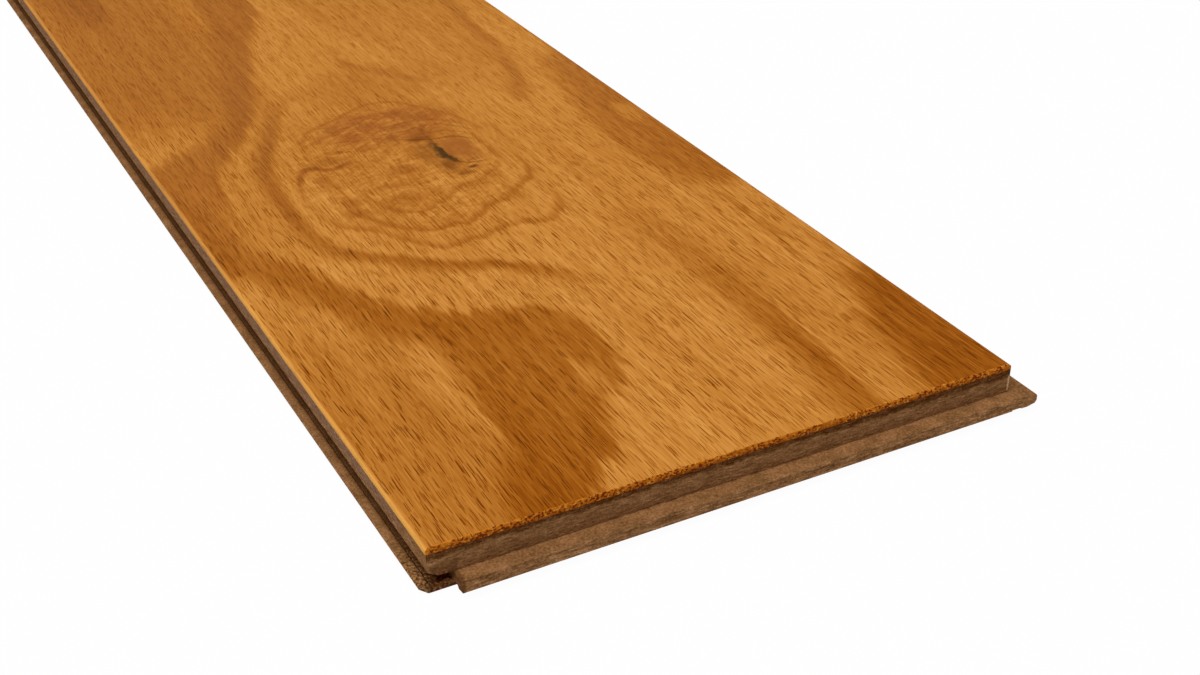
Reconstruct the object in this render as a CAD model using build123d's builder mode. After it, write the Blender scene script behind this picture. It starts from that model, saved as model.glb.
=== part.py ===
"""Engineered floorboard: an oak face veneer on a fibreboard core with interlocking edges.

Millimetres. X runs across the board, from its groove edge to its tongue edge. Y runs along it,
from its tongue end to its groove end. Z is up, and the origin is on the underside, below the
middle of the face.
"""
import os

from build123d import *

# Face and layers
face_width = 127.0
face_length = 1219.2
board_thickness = 11.1
veneer_thickness = 1.4
eased_edge = 0.9

# Tongues: a long one with a round nose on the edge, a short blunt one on the end
tongue_thickness = 2.9
edge_tongue_reach = 5.0
edge_nose_height = 2.2
edge_nose_radius = 0.9
end_tongue_reach = 3.3
end_nose_height = 2.65
end_nose_radius = 0.15

# Grooves: a lead-in under the upper lip, and a lower lip that ends in a raised locking ridge
mouth_rise = 1.3
mouth_run = 2.2
mouth_radius = 0.9
groove_corner_radius = 0.3
edge_lip_thickness = 1.5
edge_lip_reach = 1.0
end_lip_thickness = 1.45
end_lip_reach = 1.6
lip_land = 0.5
lip_bevel_run = 1.8
ridge_rise = 0.5
ridge_slope_run = 0.4
ridge_overlap = 0.85
ridge_radius = 0.15

# Room left between the edges of two boards that are locked together
joint_clearance = 0.15

# Height of the glue line between the two layers
core_top = board_thickness - veneer_thickness

# Depths of the grooves, each for the tongue that goes into it
edge_groove_depth = edge_tongue_reach + joint_clearance
end_groove_depth = end_tongue_reach + joint_clearance

# Planes of the two sections, each with its groove on the left and its tongue on the right
across_board = Plane.XZ
along_board = Plane(origin=(0, 0, 0), x_dir=(0, -1, 0), z_dir=(-1, 0, 0))


def core_section(
    plane, coverage, tongue_reach, nose_height, nose_radius, groove_depth, lip_thickness, lip_reach
):
    """Section of the core between two opposite edges, each shaped to lock into the other's like."""
    # Heights above the underside
    groove_floor = lip_thickness
    tongue_bottom = groove_floor + joint_clearance
    tongue_top = tongue_bottom + tongue_thickness
    nose_bottom = tongue_top - nose_height
    groove_roof = tongue_top + joint_clearance
    ridge_top = groove_floor + ridge_rise
    recess_roof = ridge_top + joint_clearance

    # Places across the section, counted from the two joint lines
    groove_side = -coverage / 2
    tongue_side = coverage / 2
    tongue_tip = tongue_side + tongue_reach
    groove_end = groove_side + groove_depth
    lip_edge = groove_side - lip_reach
    recess_wall = tongue_side - lip_reach - joint_clearance
    ridge_foot = ridge_overlap + ridge_slope_run

    # Corners in order, each with its place across, its height and its radius
    sharp = 0
    outline = [
        # The underside, with the recess that takes a neighbour's ridge
        (lip_edge + lip_bevel_run, 0, sharp),
        (recess_wall, 0, sharp),
        (recess_wall, recess_roof, sharp),
        # The tongue hooks down behind that ridge and thins towards its nose
        (tongue_side + ridge_overlap + joint_clearance, recess_roof, sharp),
        (tongue_side + ridge_foot + joint_clearance, tongue_bottom, sharp),
        (tongue_tip, nose_bottom, nose_radius),
        (tongue_tip, tongue_top, nose_radius),
        (tongue_side, tongue_top, sharp),
        # The flat that carries the veneer
        (tongue_side, core_top, sharp),
        (groove_side, core_top, sharp),
        # The groove narrows behind its mouth, and its floor follows the tongue's underside
        (groove_side, groove_roof + mouth_rise, mouth_radius),
        (groove_side + mouth_run, groove_roof, sharp),
        (groove_end, groove_roof, groove_corner_radius),
        (groove_end, nose_bottom - joint_clearance, groove_corner_radius),
        (groove_side + ridge_foot, groove_floor, sharp),
        # The lower lip's ridge stands past the joint line and is bevelled below
        (groove_side + ridge_overlap, ridge_top, ridge_radius),
        (lip_edge, ridge_top, ridge_radius),
        (lip_edge, ridge_top - lip_land, sharp),
    ]
    corners = [(across, height) for across, height, radius in outline]
    radii = [radius for across, height, radius in outline]

    with BuildSketch(plane) as section:
        with BuildLine():
            FilletPolyline(*corners, radius=radii, close=True)
        make_face()
    return section.sketch


os.makedirs("parts", exist_ok=True)

# Core: the section across the board and the section along it, both cut right through, leave
# the tongues and lips meeting at the corners as the mills leave them
edge_section = core_section(
    across_board, face_width, edge_tongue_reach, edge_nose_height, edge_nose_radius,
    edge_groove_depth, edge_lip_thickness, edge_lip_reach,
)
end_section = core_section(
    along_board, face_length, end_tongue_reach, end_nose_height, end_nose_radius,
    end_groove_depth, end_lip_thickness, end_lip_reach,
)
half_reach_along = face_length / 2 + end_tongue_reach + end_lip_reach
half_reach_across = face_width / 2 + edge_tongue_reach + edge_lip_reach

with BuildPart() as core:
    extrude(edge_section, amount=half_reach_along, both=True)
    extrude(end_section, amount=half_reach_across, both=True, mode=Mode.INTERSECT)

    # Each tongue stops where the groove across its end begins, and so does the scrap of lip there
    with BuildSketch(Plane.XY):
        with Locations((-face_width / 2 + edge_groove_depth, -face_length / 2)):
            Rectangle(edge_groove_depth + edge_lip_reach, end_tongue_reach, align=(Align.MAX, Align.MAX))
        with Locations((face_width / 2, face_length / 2 - end_groove_depth)):
            Rectangle(edge_tongue_reach, end_groove_depth + end_lip_reach, align=(Align.MIN, Align.MIN))
    extrude(amount=core_top, mode=Mode.SUBTRACT)
core.part.label = "fibreboard_core"
export_step(core.part, "parts/fibreboard_core.step")

# Veneer: one sheet the size of the face, with its two long edges eased
with BuildPart() as veneer:
    with BuildSketch(Plane.XY.offset(core_top)):
        Rectangle(face_width, face_length)
    extrude(amount=veneer_thickness)
    face_edges = veneer.faces().sort_by(Axis.Z)[-1].edges()
    fillet(face_edges.filter_by(Axis.Y), radius=eased_edge)
veneer.part.label = "oak_face_veneer"
export_step(veneer.part, "parts/oak_face_veneer.step")
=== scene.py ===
"""Looks of the engineered floorboard: a honey-stained oak face on a raw fibreboard core.

Objects are in metres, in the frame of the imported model. The finishes are drawn in millimetres on the
board itself: across it from the groove edge, along it from the tongue end, and up from the underside.
"""
import math

import bmesh
import bpy
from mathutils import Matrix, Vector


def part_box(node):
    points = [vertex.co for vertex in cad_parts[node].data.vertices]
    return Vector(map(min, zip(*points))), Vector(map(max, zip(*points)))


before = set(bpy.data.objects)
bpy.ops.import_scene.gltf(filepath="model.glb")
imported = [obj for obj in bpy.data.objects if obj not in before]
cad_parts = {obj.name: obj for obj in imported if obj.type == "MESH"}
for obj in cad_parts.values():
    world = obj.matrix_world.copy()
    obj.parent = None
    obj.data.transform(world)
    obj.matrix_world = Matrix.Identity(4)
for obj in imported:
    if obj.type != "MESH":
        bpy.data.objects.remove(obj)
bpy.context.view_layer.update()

MM = 0.001
FACE = "oak_face_veneer"
CORE = "fibreboard_core"
face_low, face_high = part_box(FACE)
face_width = (face_high.x - face_low.x) / MM
face_height = face_high.z / MM
veneer_foot = face_low.z / MM

# How far along the board the drawn edges go. On the groove edge the plain figure starts here and
# takes over within this distance, and it starts sooner by this much for each millimetre across.
DRAWN_REACH = 340.0
PLAIN_START = 338.0
PLAIN_BLEND = 70.0
PLAIN_SLANT = 0.85


def tint(red, green, blue):
    """Linear colour of an sRGB one given in 0 to 255."""
    linear = []
    for channel in (red, green, blue):
        share = channel / 255
        if share <= 0.04045:
            linear.append(share / 12.92)
        else:
            linear.append(((share + 0.055) / 1.055) ** 2.4)
    return (*linear, 1.0)


WHITE = tint(255, 255, 255)

# The oak face, from its palest wood to the stain in its pores, and what departs from that
OAK_TONES = [
    (0.0, tint(218, 151, 72)), (0.16, tint(199, 130, 52)), (0.32, tint(181, 111, 37)),
    (0.48, tint(163, 92, 19)), (0.64, tint(138, 70, 3)), (1.0, tint(84, 34, 0)),
]
# Painted reflection haze on the lacquer, laid over the dark bands away from the tongue end
PAINTED_HAZE = tint(223, 167, 108)
KNOT_RED = tint(158, 86, 36)
KNOT_BROWN = tint(118, 64, 18)
EYE_RED = tint(162, 93, 38)
EYE_LINE = tint(106, 54, 14)
CRACK_BROWN = tint(52, 40, 20)
# Pale edge colour: stain rubbed thin on the eased edge, together with a painted highlight
RUBBED_EDGE_HIGHLIGHT = tint(248, 180, 86)

# The oak's sawn ends
END_GOLD = tint(208, 120, 22)
END_BROWN = tint(160, 78, 4)
END_FLECK = tint(230, 154, 54)
END_PORE = tint(98, 24, 4)

# The fibreboard, from its darkest fibres to its palest, and what departs from that
FIBRE_TONES = [
    (0.0, tint(74, 46, 22)), (0.35, tint(126, 87, 51)), (0.6, tint(156, 111, 71)),
    (1.0, tint(204, 156, 112)),
]
# Painted sheen: greys laid on the milled sides
SHEEN_GREY_DARK = tint(106, 76, 56)
SHEEN_GREY_PALE = tint(166, 126, 100)
# Painted shade inside the groove
GROOVE_SHADE = tint(74, 36, 4)
DARK_CRUMB = tint(56, 30, 10)
RED_CRUMB = tint(112, 14, 6)
PALE_CRUMB = tint(190, 146, 80)
STAIN_RUN = tint(74, 36, 1)
CORNER_HAIRLINE = tint(222, 186, 136)


class Value:
    """A shader socket. Expressions on it add Math nodes."""

    def __init__(self, finish, socket):
        self.finish = finish
        self.socket = socket

    def __add__(self, other):
        return self.finish.math("ADD", self, other)

    def __radd__(self, other):
        return self.finish.math("ADD", other, self)

    def __sub__(self, other):
        return self.finish.math("SUBTRACT", self, other)

    def __rsub__(self, other):
        return self.finish.math("SUBTRACT", other, self)

    def __mul__(self, other):
        return self.finish.math("MULTIPLY", self, other)

    def __rmul__(self, other):
        return self.finish.math("MULTIPLY", other, self)

    def __truediv__(self, other):
        return self.finish.math("DIVIDE", self, other)

    def __rtruediv__(self, other):
        return self.finish.math("DIVIDE", other, self)

    def __abs__(self):
        return self.finish.math("ABSOLUTE", self, 0.0)


class Finish:
    """A material made of shader nodes."""

    def __init__(self, name):
        self.material = bpy.data.materials.new(name)
        self.material.use_nodes = True
        self.tree = self.material.node_tree
        self.tree.nodes.clear()

    def node(self, kind, settings=None, sockets=None, outputs=0):
        """Adds a node, sets it up, fills or links its sockets and returns the outputs asked for."""
        node = self.tree.nodes.new("ShaderNode" + kind)
        for name, setting in (settings or {}).items():
            if name == "stops":
                self.set_stops(node.color_ramp, setting)
            elif name == "points":
                self.set_points(node.mapping, setting)
            else:
                setattr(node, name, setting)
        for name, value in (sockets or {}).items():
            if isinstance(value, Value):
                self.tree.links.new(value.socket, node.inputs[name])
            else:
                node.inputs[name].default_value = value
        if isinstance(outputs, tuple):
            return tuple(Value(self, node.outputs[name]) for name in outputs)
        return Value(self, node.outputs[outputs])

    def set_stops(self, ramp, stops):
        """Gives a colour ramp its stops, each a place and a colour."""
        while len(ramp.elements) < len(stops):
            ramp.elements.new(1.0)
        for element, (place, colour) in zip(ramp.elements, stops):
            element.position = place
            element.color = colour

    def set_points(self, mapping, points):
        """Gives a curve its points, in order."""
        curve = mapping.curves[0]
        while len(curve.points) < len(points):
            curve.points.new(1.0, 1.0)
        for point, place in zip(curve.points, points):
            point.location = place
            point.handle_type = "AUTO_CLAMPED"
        mapping.update()

    def math(self, operation, first, second):
        return self.node("Math", {"operation": operation}, {0: first, 1: second})

    def mix(self, share, first, second):
        """Colour between two colours."""
        return self.node("Mix", {"data_type": "RGBA"}, {0: share, 6: first, 7: second}, 2)

    def ramp(self, value, low, high, first=0.0, last=1.0, smooth=True):
        """Goes from first to last while the value goes from low to high, and stays there."""
        settings = {"interpolation_type": "SMOOTHSTEP" if smooth else "LINEAR"}
        sockets = {"Value": value, "From Min": low, "From Max": high, "To Min": first, "To Max": last}
        return self.node("MapRange", settings, sockets)

    def place(self):
        """Where a point of the board is: across, along and up, in millimetres."""
        point = self.node("TexCoord", outputs="Object")
        x, y, z = self.node("SeparateXYZ", sockets={0: point}, outputs=("X", "Y", "Z"))
        across = (x - face_low.x) / MM
        along = (y - face_low.y) / MM
        return across, along, z / MM

    def facing(self):
        """How far the surface faces across, along and up."""
        normal = self.node("NewGeometry", outputs="True Normal")
        return self.node("SeparateXYZ", sockets={0: normal}, outputs=("X", "Y", "Z"))

    def vector(self, x, y, z=0.0):
        return self.node("CombineXYZ", sockets={"X": x, "Y": y, "Z": z})

    def cloud(self, where, detail, roughness):
        """Soft noise from about -1 to 1."""
        sockets = {"Vector": where, "Scale": 1.0, "Detail": detail, "Roughness": roughness}
        return self.node("TexNoise", {"noise_dimensions": "3D"}, sockets, "Fac") * 2.0 - 1.0

    def noise(self, across, along, size, seed, detail=2.0, roughness=0.5):
        """Soft noise on a flat, whose lumps have this size across and along, in millimetres."""
        where = self.vector(across / size[0], along / size[1], seed)
        return self.cloud(where, detail, roughness)

    def lumps(self, place, size, seed, detail=2.0, roughness=0.5):
        """Soft noise in the solid, whose lumps have this size across, along and up."""
        across, along, height = place
        where = self.vector(across / size[0] + seed, along / size[1] + seed, height / size[2])
        return self.cloud(where, detail, roughness)

    def dashes(self, across, along, cell, seed, width, share):
        """Scattered dashes, one in some cells of this size, from 0 between them to 1 in their middle."""
        where = self.vector(across / cell[0] + seed, along / cell[1] + seed)
        settings = {"voronoi_dimensions": "2D", "feature": "F1", "distance": "CHEBYCHEV"}
        sockets = {"Vector": where, "Scale": 1.0, "Randomness": 1.0}
        distance, shade = self.node("TexVoronoi", settings, sockets, ("Distance", "Color"))
        pick, length, depth = self.node("SeparateColor", sockets={0: shade}, outputs=(0, 1, 2))
        here = self.ramp(pick, 1.0 - share - 0.02, 1.0 - share + 0.02)
        size = width * (0.6 + 0.6 * length)
        return self.ramp(distance, size, 0.45 * size) * here * (0.45 + 0.55 * depth)

    def surface(self, sockets):
        """Ends the material in a Principled surface with these sockets."""
        shader = self.node("BsdfPrincipled", sockets=sockets)
        self.node("OutputMaterial", {"is_active_output": True}, {"Surface": shader}, ())
        return self.material


class Figure:
    """Places on the face where the grain is drawn from listed edges, lines and patches."""

    # Half the stretch of the board over which a drawn edge is evened out
    EVEN = 1.2
    # Room past the face that a drawn edge may use to leave it
    MARGIN = 20.0
    # Over what distance a line across the grain and one along it fade at their ends
    STROKE_FADE = 4.0
    STREAK_FADE = 12.0

    def __init__(self, finish, across, along):
        self.finish = finish
        self.across = across
        self.along = along
        self.before = finish.ramp(along - self.EVEN, 0.0, DRAWN_REACH, smooth=False)
        self.after = finish.ramp(along + self.EVEN, 0.0, DRAWN_REACH, smooth=False)

    def right_of(self, edge):
        """How far a place lies to the right of an edge, which is drawn as (along, across) points."""
        span = face_width + 2 * self.MARGIN
        points = [(along / DRAWN_REACH, (across + self.MARGIN) / span) for along, across in edge]
        before = self.finish.node("FloatCurve", {"points": points}, {"Value": self.before})
        after = self.finish.node("FloatCurve", {"points": points}, {"Value": self.after})
        slope = (after - before) * (span / (2 * self.EVEN))
        steepness = self.finish.math("SQRT", 1.0 + slope * slope, 0.0)
        return (self.across + self.MARGIN - (before + after) * (span / 2)) / steepness

    def band(self, left, right, soft_left, soft_right, strength):
        """A dark band between two drawn edges, each fading over a distance outside and inside it."""
        inside_left = self.finish.ramp(self.right_of(left), -soft_left[0], soft_left[1])
        inside_right = self.finish.ramp(self.right_of(right), soft_right[0], -soft_right[1])
        return inside_left * inside_right * strength

    def rim(self, edge, soft, fade, strength):
        """A dark rim along the left of a drawn edge, which fades away from it."""
        away = self.right_of(edge)
        return self.finish.ramp(away, soft, -soft) * self.finish.ramp(away, -fade, -soft) * strength

    def ends(self, value, low, high, fade):
        """Fades a line in after its one end and out before its other."""
        return self.finish.ramp(value, low, low + fade) * self.finish.ramp(value, high, high - fade)

    def stroke(self, points, above, below, strength):
        """A line across the grain, drawn as (across, along) points, which fades above and below it."""
        curve = [(across / face_width, along / DRAWN_REACH) for across, along in points]
        sides = []
        for step in (-self.EVEN, self.EVEN):
            share = self.finish.ramp(self.across + step, 0.0, face_width, smooth=False)
            line = self.finish.node("FloatCurve", {"points": curve}, {"Value": share})
            sides.append(line * DRAWN_REACH)
        slope = (sides[1] - sides[0]) / (2 * self.EVEN)
        steepness = self.finish.math("SQRT", 1.0 + slope * slope, 0.0)
        away = (self.along - (sides[0] + sides[1]) / 2) / steepness
        ends = self.ends(self.across, points[0][0], points[-1][0], self.STROKE_FADE)
        return self.finish.ramp(away, above, 0.0) * self.finish.ramp(away, -below, 0.0) * ends * strength

    def streak(self, across, low, high, width, strength):
        """A thin line along the grain."""
        ends = self.ends(self.along, low, high, self.STREAK_FADE)
        return self.finish.ramp(abs(self.across - across), width, 0.2 * width) * ends * strength

    def patch(self, middle, reach, strength):
        """A soft oval patch."""
        off_across = (self.across - middle[0]) / reach[0]
        off_along = (self.along - middle[1]) / reach[1]
        return self.finish.ramp(off_across * off_across + off_along * off_along, 1.5, 0.0) * strength


def darken(*shares):
    """How dark several layers are together, where each covers some of what shows."""
    light = 1.0
    for share in shares:
        light = light * (1.0 - share)
    return 1.0 - light


def oak_finish():
    """Honey-stained oak with a knot near its tongue end, and end grain where it is sawn off."""
    oak = Finish("honey_stained_oak")
    across, along, height = oak.place()

    # Slow wander of the growth rings, and the fine streaks and teeth that sawn rings end in
    wander_across = oak.noise(across, along, (26.0, 60.0), 1.3)
    wander_along = oak.noise(across, along, (22.0, 40.0), 5.1)
    teeth = oak.noise(across, along, (1.4, 60.0), 9.7, 3.0, 0.6)
    fringe = oak.noise(across, along, (1.6, 70.0), 3.3, 4.0, 0.65)
    u = across + 1.2 * wander_across + 6.0 * fringe
    v = along + 2.5 * wander_along + 9.0 * teeth
    drawn = Figure(oak, u, v)
    calm_across = across + 0.7 * wander_across + 1.6 * fringe
    calm_along = along + wander_along + 2.4 * teeth
    calm = Figure(oak, calm_across, calm_along)
    still = Figure(oak, across + 0.3 * fringe, along + 0.5 * teeth)

    # Streaks of the stain, from broad to fine
    broad = oak.noise(across, along, (17.0, 130.0), 41.0, 2.0)
    grain = across + 1.5 * wander_across
    narrow = oak.noise(grain, along, (2.4, 80.0), 43.0, 3.0, 0.6)
    hair = oak.noise(grain, along, (0.42, 18.0), 47.0, 3.0, 0.7)

    # Bands of slow growth, from the groove edge to the tongue edge
    sweep = drawn.band(
        [(0, 18), (5, 19), (12, 21), (18, 24), (30, 26.5), (42, 28.5), (50, 31), (60, 30), (66, 25),
         (72, 21.5), (82, 18), (90, 12), (100, 8.5), (108, 4.5), (113, -2), (120, -12), (165, -12),
         (172, -2), (176, 9), (180, 16), (186, 22), (195, 27), (210, 32), (225, 36), (240, 40),
         (252, 42.5), (270, 46), (340, 47)],
        [(0, 33), (6, 37), (12, 43), (20, 46), (28, 49.5), (33, 57), (40, 60), (50, 60), (58, 58.5),
         (64, 56), (67, 50), (69, 42), (73, 34), (78, 29), (85, 25.5), (92, 21.5), (100, 18),
         (107, 15), (113, 11.5), (122, 9.5), (135, 9.5), (150, 12), (160, 14.5), (168, 18),
         (175, 23), (182, 27), (190, 32), (200, 36), (215, 40), (230, 45), (245, 50), (260, 56),
         (280, 61), (340, 66)],
        (6.0, 2.0), (2.0, 2.0), 0.68,
    )
    sweep = sweep * (0.9 + 0.3 * oak.ramp(v, 30.0, 0.0)) * (1.0 - drawn.patch((51, 35), (3, 7), 0.6))
    ring_line = calm.rim(
        [(0, 70), (66, 70.5), (70, 72), (74, 70), (78, 67), (82, 63.5), (85, 60.5), (88, 56), (91, 51),
         (94, 46), (97, 42), (100, 38.5), (103, 35), (106, 31), (109, 28), (113, 26), (118, 25),
         (126, 24.6), (135, 24.8), (145, 25.3), (155, 26.2), (163, 28), (170, 31.2), (178, 35),
         (187, 38.5), (193, 41.5), (197, 45), (200, 50), (203, 56), (207, 61), (340, 60)],
        1.6, 7.5, 0.62,
    )
    ring_line = ring_line * oak.ramp(v, 62.0, 80.0) * oak.ramp(v, 210.0, 175.0)
    ring_line = ring_line * oak.ramp(u, 72.0, 58.0, 0.3, 1.0)
    streak = drawn.band(
        [(0, 87), (10, 88), (20, 90), (40, 91), (60, 91), (75, 90), (90, 87), (98, 88), (103, 94),
         (340, 110)],
        [(0, 96), (10, 97), (25, 98), (50, 99.5), (75, 100.5), (85, 99.5), (92, 98), (99, 95.5),
         (104, 90), (340, 70)],
        (5.0, 4.5), (2.4, 2.6), 0.6,
    )
    streak = streak * oak.ramp(v, 20.0, 100.0, 1.0, 0.3)
    corner = drawn.band(
        [(0, 107), (10, 109), (20, 110), (26, 110.5), (32, 114), (38, 118), (44, 119.5), (48, 122),
         (53, 130), (80, 140), (340, 140)],
        [(0, 145), (340, 145)],
        (5.0, 4.5), (1.0, 1.0), 0.8,
    )
    edge_patch = drawn.band(
        [(0, 145), (90, 140), (97, 128), (102, 118), (108, 113.5), (116, 112.5), (126, 110),
         (140, 110.5), (150, 111.5), (160, 113), (170, 116), (180, 117.5), (190, 119.5), (200, 126),
         (206, 134), (230, 145), (340, 145)],
        [(0, 145), (340, 145)],
        (6.0, 6.0), (1.0, 1.0), 0.56,
    )
    edge_patch = edge_patch * (1.0 - drawn.patch((123, 150), (4, 7), 0.7))
    side_line = calm.band(
        [(0, 130), (150, 118), (168, 104), (174, 101), (182, 103.5), (190, 106.5), (200, 109),
         (215, 110.5), (230, 112), (245, 113.5), (340, 116)],
        [(0, 100), (150, 100), (168, 103), (172, 104.5), (180, 107), (190, 110), (200, 112),
         (215, 113.8), (230, 115), (245, 116.5), (340, 120)],
        (3.0, 2.0), (1.8, 1.4), 0.44,
    )
    arch = drawn.band(
        [(0, 140), (160, 120), (170, 101), (180, 97), (200, 90), (215, 84), (228, 80.5), (235, 78),
         (245, 75), (255, 72.5), (276, 71), (340, 70)],
        [(0, 90), (160, 95), (170, 102), (174, 101), (182, 103.5), (190, 106.5), (200, 109),
         (215, 110.5), (230, 112), (245, 113.5), (340, 116)],
        (3.0, 3.0), (3.0, 3.0), 0.14,
    )
    faint_line = calm.band(
        [(0, 120), (190, 90), (195, 82), (200, 78.5), (208, 73), (214, 69), (218, 66.5), (222, 68),
         (340, 90)],
        [(0, 60), (190, 84), (195, 84), (200, 80.5), (208, 75.5), (214, 71.5), (218, 69.5), (222, 66),
         (340, 50)],
        (1.8, 1.2), (2.6, 1.2), 0.34,
    )
    shades = darken(
        drawn.patch((6, 25), (24, 60), 0.32),
        drawn.patch((104, 30), (7, 50), 0.14),
        drawn.patch((16, 140), (6, 36), 0.1),
        oak.ramp(v, 172.0, 215.0) * oak.ramp(u, 50.0, 30.0) * 0.46,
        drawn.patch((13, 304), (8, 26), 0.55),
        drawn.patch((70, 199), (24, 15), 0.2),
        drawn.streak(116.4, 48.0, 104.0, 0.8, 0.5),
        drawn.streak(118.0, 60.0, 96.0, 0.6, 0.4),
    )

    # Rings of the knot: each darkens slowly from the inside and ends on a line
    mottle = oak.noise(across, along, (6.5, 5.0), 21.0, 4.0, 0.6)
    squiggle = oak.noise(across + 5.0 * mottle, along + 4.0 * mottle, (4.0, 2.6), 23.0, 2.0, 0.5)
    veins = oak.ramp(abs(squiggle), 0.13, 0.0)
    inside_knot = calm.patch((55, 147), (30, 44), 1.0)
    rings = darken(
        calm.stroke(
            [(26.5, 132), (28.5, 126), (31, 120), (34.5, 117), (37.5, 115), (39.5, 110), (43, 105.5),
             (45.5, 102), (50, 100), (55, 100.5), (59, 101.5), (64, 103), (68, 103.5), (71, 101.5),
             (74.5, 101), (77.5, 103.5), (80.5, 106.5), (82.5, 109.5), (85, 117)],
            3.4, 1.6, 0.4,
        ),
        calm.stroke(
            [(33, 131), (34.5, 126), (37, 124), (39, 119.5), (41.5, 115), (44.5, 112), (48, 109.7),
             (52, 109.2), (57, 109.2), (61, 110.7), (64, 113), (66, 115.5), (68, 116.5), (69.7, 115.2),
             (72.5, 117), (75.5, 120.5), (78.5, 122.5), (81.5, 124.5), (84, 129), (85.5, 138)],
            2.7, 1.4, 0.49,
        ),
        calm.stroke(
            [(40, 137), (41, 133), (42.5, 128.5), (44.5, 123.8), (47, 120.5), (51, 119.5), (55, 121),
             (59, 124), (63, 127), (66, 128.7), (69.5, 128.7), (73.5, 131.6), (77.5, 134.6), (80, 140)],
            2.4, 1.0, 0.42,
        ),
        still.stroke(
            [(37.5, 168), (39.5, 172.5), (41, 175.4), (44.5, 177.6), (48, 179.3), (53, 181.8), (58, 185),
             (63, 187), (68, 186.2), (71, 184.5), (73, 181), (77.5, 174.5), (80.5, 168.5), (83, 162),
             (85, 150)],
            0.9, 1.6, 0.42,
        ),
        still.stroke(
            [(42, 169.5), (44.5, 171), (49, 173), (54, 175), (58, 177.4), (62, 179.8), (66, 178.4),
             (70, 174), (74, 169), (77, 163)],
            0.7, 1.3, 0.35,
        ),
        still.streak(79.7, 134.0, 160.0, 1.0, 0.35),
    )

    # What lies inside them: the red top, the hooked streak and small loop, and dull patches
    red_top = calm.patch((62, 171), (19, 13), 1.0)
    spots = darken(
        still.stroke(
            [(27.5, 141), (29.5, 147), (31, 150.5), (32.5, 153.3), (34.5, 155.2), (36, 155),
             (37.5, 153.2), (39, 151.5), (41.5, 152), (44, 153.4), (48, 155)],
            1.3, 2.0, 0.85,
        ),
        still.patch((34.3, 154.4), (3.0, 1.5), 0.6),
        still.patch((45.2, 160.6), (1.3, 0.9), 0.75),
        still.patch((47.2, 159.9), (1.2, 0.6), 0.6),
        still.patch((39.4, 160.2), (1.2, 0.8), 0.4),
        still.patch((41, 156.5), (6, 2.6), 0.4),
        still.patch((55.5, 143.5), (4, 3), 0.45),
        still.patch((53, 160), (3, 2), 0.3),
        still.patch((50, 136), (6, 2), 0.3),
        still.patch((36, 126), (3.5, 2.5), 0.45),
        still.patch((37.5, 131), (2.5, 3), 0.4),
        still.patch((35, 147), (2, 2), 0.5),
        still.patch((50, 127), (6, 4), 0.25),
        still.patch((67.5, 160), (5, 3.5), 0.5),
    )
    knot_dark = darken(
        rings,
        spots,
        inside_knot * (0.12 + 0.6 * mottle + 0.3 * veins),
        red_top * (0.24 + 0.55 * veins + 0.7 * mottle),
    )

    # Plain figure for the rest of the board: long uneven arches, one inside another
    arch_middle = 58.0 + 18.0 * oak.noise(along, along, (420.0, 420.0), 31.0, 0.0)
    off_middle = across - arch_middle + 5.0 * wander_across + 1.5 * fringe
    bunching = oak.noise(along, along, (260.0, 260.0), 37.0, 1.0)
    arches = v / 150.0 + off_middle * off_middle / 1000.0 + 1.1 * bunching + 0.4 * wander_along
    ring = oak.math("FLOOR", arches, 0.0)
    arch_share = arches - ring
    ring_depth = oak.node("TexWhiteNoise", {"noise_dimensions": "1D"}, {"W": ring})
    thin_share = oak.math("FRACT", 3.0 * arches, 0.0)
    plain = darken(
        oak.ramp(arch_share, 0.15, 0.8) * oak.ramp(arch_share, 1.0, 0.88) * (0.25 + 0.5 * ring_depth),
        oak.ramp(thin_share, 0.3, 0.9) * oak.ramp(thin_share, 1.0, 0.9) * 0.2,
    )
    slanted = along + PLAIN_SLANT * across + 20.0 * wander_along
    beyond = oak.ramp(slanted, PLAIN_START, PLAIN_START + PLAIN_BLEND)
    by_hand = 1.0 - beyond

    growth = darken(
        sweep, ring_line, streak, corner, edge_patch, side_line, arch, faint_line, shades, knot_dark,
    )
    pale = darken(drawn.patch((24, 44), (4, 26), 0.5), drawn.patch((80, 38), (5, 26), 0.3))
    growth = growth * by_hand * (1.0 - pale) + plain * beyond

    # Open pores, where the stain is deepest: fine dense ones, bolder ones and long sparse ones. They show
    # less in the dark bands and in the knot.
    fine_pores = oak.dashes(grain, along, (0.4, 8.0), 0.0, 0.22, 0.85)
    bold_pores = oak.dashes(grain, along, (0.56, 14.0), 7.3, 0.19, 0.6)
    long_pores = oak.dashes(grain, along, (0.85, 24.0), 4.1, 0.13, 0.55)
    clear_of_knot = 1.0 - by_hand * (0.2 * inside_knot + 0.6 * red_top)
    near_groove = oak.ramp(across, 45.0, 10.0)
    pore = darken(
        0.75 * fine_pores,
        (0.8 + 0.2 * near_groove) * bold_pores,
        (0.7 + 0.3 * near_groove) * long_pores,
    )
    stained_pore = pore * clear_of_knot * (1.0 - 0.45 * growth)

    # From the palest wood to the stain in the pores, which is crispest near the tongue end
    crisp = oak.ramp(along, 60.0, 220.0, 1.0, 0.65)
    tone = darken(0.2 + 0.12 * broad - 0.12 * pale * by_hand, 0.96 * growth)
    tone = tone + 0.3 * narrow + crisp * (0.62 * hair + 1.3 * stained_pore)
    wood = oak.node("ValToRGB", {"stops": OAK_TONES}, {"Fac": 0.64 * tone})

    # Away from the tongue end the dark bands are paler: a painted reflection haze on the lacquer
    wood = oak.mix(0.12 * growth * oak.ramp(along, 70.0, 200.0), wood, PAINTED_HAZE)

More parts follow.
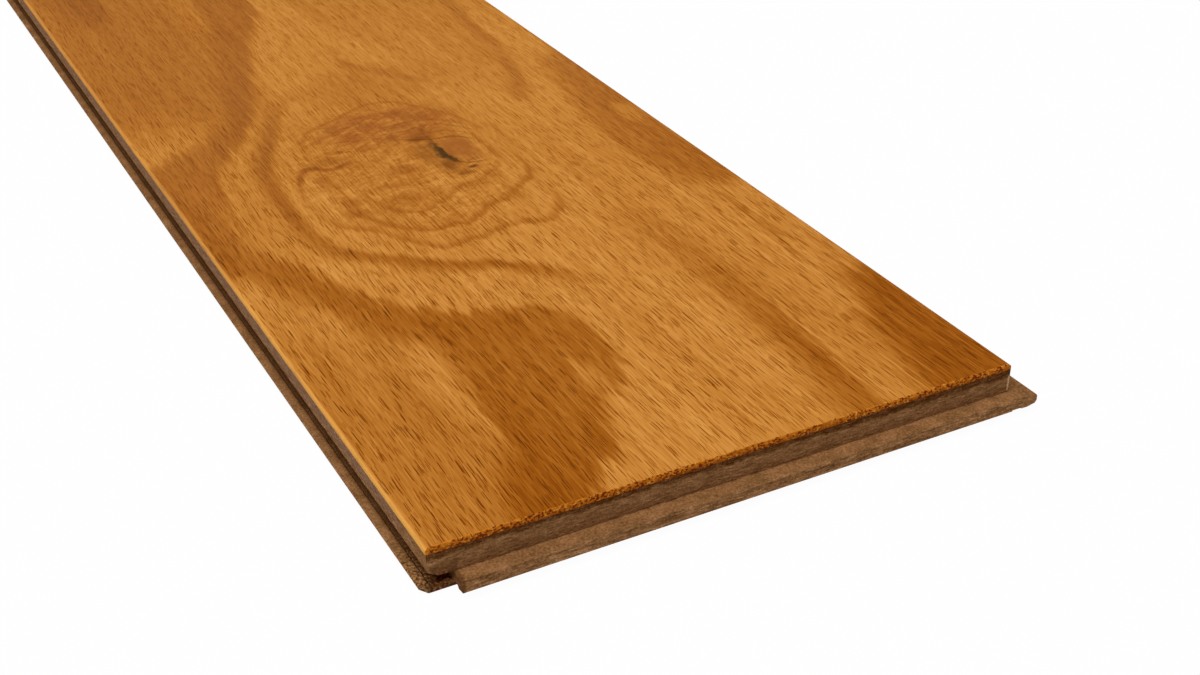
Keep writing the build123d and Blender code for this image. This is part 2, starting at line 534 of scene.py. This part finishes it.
    # Redder and browner wood in the knot, the lines round its eye, and its ragged crack
    brown_left = still.patch((66.5, 148), (5.0, 13), 0.42) * (0.9 + 0.9 * mottle)
    red_oval = still.patch((73.3, 149.5), (4.6, 8.5), 0.85) * (0.85 + 0.4 * mottle)
    wood = oak.mix(red_top * by_hand * (0.36 + 0.5 * mottle), wood, KNOT_RED)
    wood = oak.mix(brown_left * by_hand, wood, KNOT_BROWN)
    wood = oak.mix(red_oval * by_hand, wood, EYE_RED)
    eye_lines = darken(
        still.stroke(
            [(66, 146), (68, 143.2), (70, 140.6), (72, 139.3), (75, 139), (78, 139.6)], 0.7, 0.6, 0.6,
        ),
        still.stroke(
            [(60, 161), (62, 160.4), (64.5, 159.4), (67, 157.8), (70, 157.2), (74, 156.6), (77, 155),
             (80, 150)],
            0.6, 0.8, 0.55,
        ),
        still.stroke([(64, 161), (69, 161.6), (74, 161), (78, 158), (81, 152)], 0.5, 0.7, 0.3),
        still.stroke(
            [(60, 166), (65, 165.4), (70, 166.4), (75, 165.2), (79, 161), (83, 154)], 0.5, 0.8, 0.34,
        ),
        still.stroke(
            [(58, 170.6), (64, 170), (69, 171), (74, 169.4), (79, 165), (84, 156)], 0.6, 0.8, 0.26,
        ),
        still.patch((71.6, 137.1), (1.5, 0.9), 0.9),
        still.patch((68.6, 134.4), (2.6, 1.1), 0.5),
        still.patch((66.6, 140.6), (1.5, 3.2), 0.45),
        still.patch((66, 159), (3.4, 1.6), 0.45),
        still.patch((69, 164), (0.8, 2.0), 0.45),
        still.patch((73.5, 140.9), (2.6, 0.9), 0.3),
    )
    wood = oak.mix(eye_lines * by_hand, wood, EYE_LINE)
    ragged = oak.noise(across, along, (1.1, 1.7), 67.0, 3.0, 0.65)
    split = Figure(oak, across + 1.7 * ragged, along + 1.2 * ragged)
    crack = split.band(
        [(0, 100), (130, 90), (139, 74), (141.5, 70), (143, 68.5), (145, 67.1), (147.5, 66.9),
         (150, 67.4), (153, 67.8), (155, 68.2), (157.5, 68.6), (170, 90), (340, 100)],
        [(0, 50), (130, 60), (139, 70.4), (141.5, 70), (143, 69.8), (145, 69.3), (147.5, 69),
         (150, 68.8), (153, 68.7), (155, 68.5), (157.5, 68.1), (170, 60), (340, 50)],
        (1.5, 0.8), (0.5, 0.5), 0.86,
    )
    wood = oak.mix(crack * by_hand, wood, CRACK_BROWN)

    # End grain: golden, with clustered maroon pores, and chipped along its upper edge
    side_facing, end_facing = oak.facing()[:2]
    chip = oak.noise(across, height, (0.8, 0.8), 55.0, 3.0, 0.7)
    end = darken(oak.ramp(abs(end_facing), 0.5, 0.7), oak.ramp(along, 0.4 + 0.7 * chip, 0.0))
    side = oak.ramp(abs(side_facing), 0.3, 1.0)
    end_depth = oak.ramp(height + 0.5 * chip, veneer_foot, face_height, 1.0, 0.0, smooth=False)
    end_clusters = oak.noise(across, height, (6.0, 6.0), 51.0, 3.0, 0.6)
    end_spots = oak.lumps((across, along, height), (0.55, 1.0, 0.42), 3.7, 1.0, 0.5)
    end_pores = oak.ramp(end_spots, 0.0, 0.16) * oak.ramp(end_clusters, -0.5, 0.0)
    end_wood = oak.mix(end_depth, END_GOLD, END_BROWN)
    end_wood = oak.mix(oak.ramp(chip, 0.0, 0.35), end_wood, END_FLECK)
    end_wood = oak.mix(0.9 * end_pores, end_wood, END_PORE)
    # The eased edges and veneer sides are paler: stain rubbed thin there, and a painted highlight that is
    # strongest near the tongue end
    rubbed_and_highlight = oak.ramp(along + 40.0 * broad, 160.0, 10.0, 0.48, 0.8)
    wood = oak.mix(rubbed_and_highlight * side, wood, RUBBED_EDGE_HIGHLIGHT)
    wood = oak.mix(end, wood, end_wood)

    bump_height = 0.2 * hair - 0.15 * pore
    relief = oak.node("Bump", sockets={"Strength": 0.25, "Distance": 0.0002, "Height": bump_height})
    gloss = 0.42 + 0.06 * narrow + 0.58 * darken(end, side)
    return oak.surface(
        {"Base Color": wood, "Roughness": gloss, "Normal": relief, "Specular IOR Level": 0.1}
    )


def fibreboard_finish():
    """Raw milled fibreboard: pressed brown fibres, stained dark under the veneer at the tongue end."""
    board = Finish("raw_fibreboard")
    across, along, height = place = board.place()
    side_facing, end_facing, up_facing = board.facing()

    # Fibres pressed flat in clumps, so that the milled sides show flecks and the flats are smoother
    # and darker
    flat = board.ramp(abs(up_facing), 0.5, 0.9)
    flecks = board.lumps(place, (2.2, 2.2, 0.36), 3.0, 4.0, 0.7)
    clumps = board.lumps(place, (5.0, 5.0, 1.6), 29.0, 3.0, 0.6)
    dust = board.lumps(place, (0.45, 0.45, 0.4), 41.0, 2.0, 0.6)
    fibres = flecks * (1.1 - 0.8 * flat) + 0.4 * clumps + 0.6 * dust
    shade = 0.48 - 0.1 * flat + 0.75 * fibres
    colour = board.node("ValToRGB", {"stops": FIBRE_TONES}, {"Fac": shade})

    # Painted sheen: the milled sides are greyer, as if lit by the pale surroundings at a grazing angle,
    # except where the fibre is torn at the tongue end and low on the wall towards the mouth, which is in
    # shade
    torn = board.ramp(along + 5.0 * clumps, 22.0, 3.0)
    mouth = board.ramp(height + 0.6 * clumps, 8.0, 6.6)
    side = board.ramp(abs(side_facing), 0.5, 0.9) * (1.0 - torn) * (1.0 - mouth)
    sheen_grey = board.mix(0.45 + 0.8 * fibres, SHEEN_GREY_DARK, SHEEN_GREY_PALE)
    colour = board.mix(0.8 * side, colour, sheen_grey)

    # Painted shade inside the groove edge, under the overhang of the upper lip
    groove_shade = board.ramp(across + 0.3 * clumps, 0.1, 1.3) * board.ramp(across, 6.0, 5.4)
    groove_shade = groove_shade * board.ramp(height, 8.0, 6.0)
    colour = board.mix(0.55 * groove_shade, colour, GROOVE_SHADE)

    # Loose crumbs where the groove opens at the tongue end
    crumbled = torn * board.ramp(across, 5.1, 4.7) * board.ramp(height, 6.0, 4.5)
    crumbs = board.lumps(place, (0.55, 0.6, 0.5), 53.0, 2.0, 0.6)
    dark_crumbs = board.ramp(crumbs, 0.0, 0.2)
    pale_crumbs = board.ramp(crumbs, -0.1, -0.3)
    crumb_colour = board.mix(board.ramp(across, 1.4, 2.4), DARK_CRUMB, RED_CRUMB)
    colour = board.mix(0.85 * crumbled * dark_crumbs, colour, crumb_colour)
    colour = board.mix(0.55 * crumbled * pale_crumbs, colour, PALE_CRUMB)

    # Stain that ran down the sawn end under the veneer, in blotches
    runs = board.lumps(place, (4.5, 40.0, 40.0), 61.0, 4.0, 0.7)
    share_across = board.ramp(across, 0.0, face_width, smooth=False)
    stain_foot = veneer_foot - 1.1 - 0.6 * share_across * share_across + 1.2 * runs
    stained = board.ramp(height - stain_foot, -0.5, 0.5) * board.ramp(end_facing, -0.5, -0.7)
    colour = board.mix(stained * (0.8 - 0.5 * fibres), colour, STAIN_RUN)

    # The pale hairline on the corner beside the tongue edge
    past_edge = across - face_width
    corner_line = board.ramp(past_edge, -0.6, -0.3) * board.ramp(past_edge, 0.4, 0.1)
    corner_line = corner_line * board.ramp(end_facing, -0.5, -0.7) * board.ramp(height, 4.7, 5.2)
    colour = board.mix(0.7 * corner_line * (1.0 - stained), colour, CORNER_HAIRLINE)

    relief = board.node("Bump", sockets={"Strength": 0.5, "Distance": 0.0002, "Height": fibres})
    return board.surface(
        {"Base Color": colour, "Roughness": 1.0, "Normal": relief, "Specular IOR Level": 0.03}
    )


def paint(node, material):
    """Gives a CAD node its finish."""
    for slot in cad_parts[node].material_slots:
        slot.material = material


paint(FACE, oak_finish())
paint(CORE, fibreboard_finish())

# Floor: white to the camera, with the board's faint shadow left on it, and clear from below so that
# the underside can be seen
FLOOR_SIZE = 12.0
FLOOR_GAP = 0.0001
PAPER_GREY = (0.8, 0.8, 0.8, 1.0)
PAPER_WHITENESS = 0.97
floor_mesh = bpy.data.meshes.new("studio_floor")
floor_form = bmesh.new()
bmesh.ops.create_grid(floor_form, x_segments=1, y_segments=1, size=FLOOR_SIZE / 2)
bmesh.ops.translate(floor_form, verts=floor_form.verts, vec=(0.0, 0.0, -FLOOR_GAP))
floor_form.to_mesh(floor_mesh)
floor_form.free()
floor = bpy.data.objects.new("studio_floor", floor_mesh)
bpy.context.collection.objects.link(floor)

paper = Finish("white_paper")
lit = paper.node("BsdfDiffuse", sockets={"Color": PAPER_GREY})
white = paper.node("Emission", sockets={"Color": WHITE, "Strength": 1.0})
camera_ray, glossy_ray, clear_ray = paper.node(
    "LightPath", outputs=("Is Camera Ray", "Is Glossy Ray", "Is Transmission Ray"),
)
seen = paper.math("MAXIMUM", paper.math("MAXIMUM", camera_ray, glossy_ray), clear_ray)
paper_surface = paper.node("MixShader", sockets={0: PAPER_WHITENESS * seen, 1: lit, 2: white})
clear = paper.node("BsdfTransparent")
from_below = paper.node("NewGeometry", outputs="Backfacing")
shadow_ray = paper.node("LightPath", outputs="Is Shadow Ray")
paper_surface = paper.node(
    "MixShader", sockets={0: paper.math("MAXIMUM", from_below, shadow_ray), 1: paper_surface, 2: clear},
)
paper.node("OutputMaterial", {"is_active_output": True}, {"Surface": paper_surface}, ())
floor_mesh.materials.append(paper.material)

# Light: pale surroundings, a large soft lamp above and to the left, and a weaker one for the underside
SURROUNDINGS = 0.06
world = bpy.data.worlds.new("pale_studio")
world.use_nodes = True
background = world.node_tree.nodes["Background"]
background.inputs["Color"].default_value = WHITE
background.inputs["Strength"].default_value = SURROUNDINGS
bpy.context.scene.world = world


def soft_lamp(name, toward, power, spread):
    """A wide soft lamp far away in this direction, seen over this angle in degrees."""
    light = bpy.data.lights.new(name, "SUN")
    light.energy = power
    light.angle = math.radians(spread)
    lamp = bpy.data.objects.new(name, light)
    lamp.location = toward
    lamp.rotation_euler = lamp.location.to_track_quat("Z", "Y").to_euler()
    bpy.context.collection.objects.link(lamp)


soft_lamp("key_lamp", (-0.28, -0.2, 0.939), 3.14, 38.0)
soft_lamp("low_lamp", (0.2, 0.1, -0.97), 1.6, 60.0)

# Camera, fitted to the photograph's edges and placed from the face's near groove corner
LENS = 50.13
CAMERA_FROM_CORNER = (-0.08075, -0.21217, 0.17377)
CAMERA_DOWN = math.radians(30.45)
CAMERA_HEADING = math.radians(28.31)

camera_data = bpy.data.cameras.new("photo_camera")
camera_data.lens = LENS
camera_data.sensor_width = 36.0
camera_data.clip_start = 0.01
camera = bpy.data.objects.new("photo_camera", camera_data)
camera.location = (
    face_low.x + CAMERA_FROM_CORNER[0],
    face_low.y + CAMERA_FROM_CORNER[1],
    face_high.z + CAMERA_FROM_CORNER[2],
)
camera.rotation_euler = (math.pi / 2 - CAMERA_DOWN, 0.0, -CAMERA_HEADING)
bpy.context.collection.objects.link(camera)
bpy.context.scene.camera = camera

bpy.context.scene.view_settings.view_transform = "Standard"
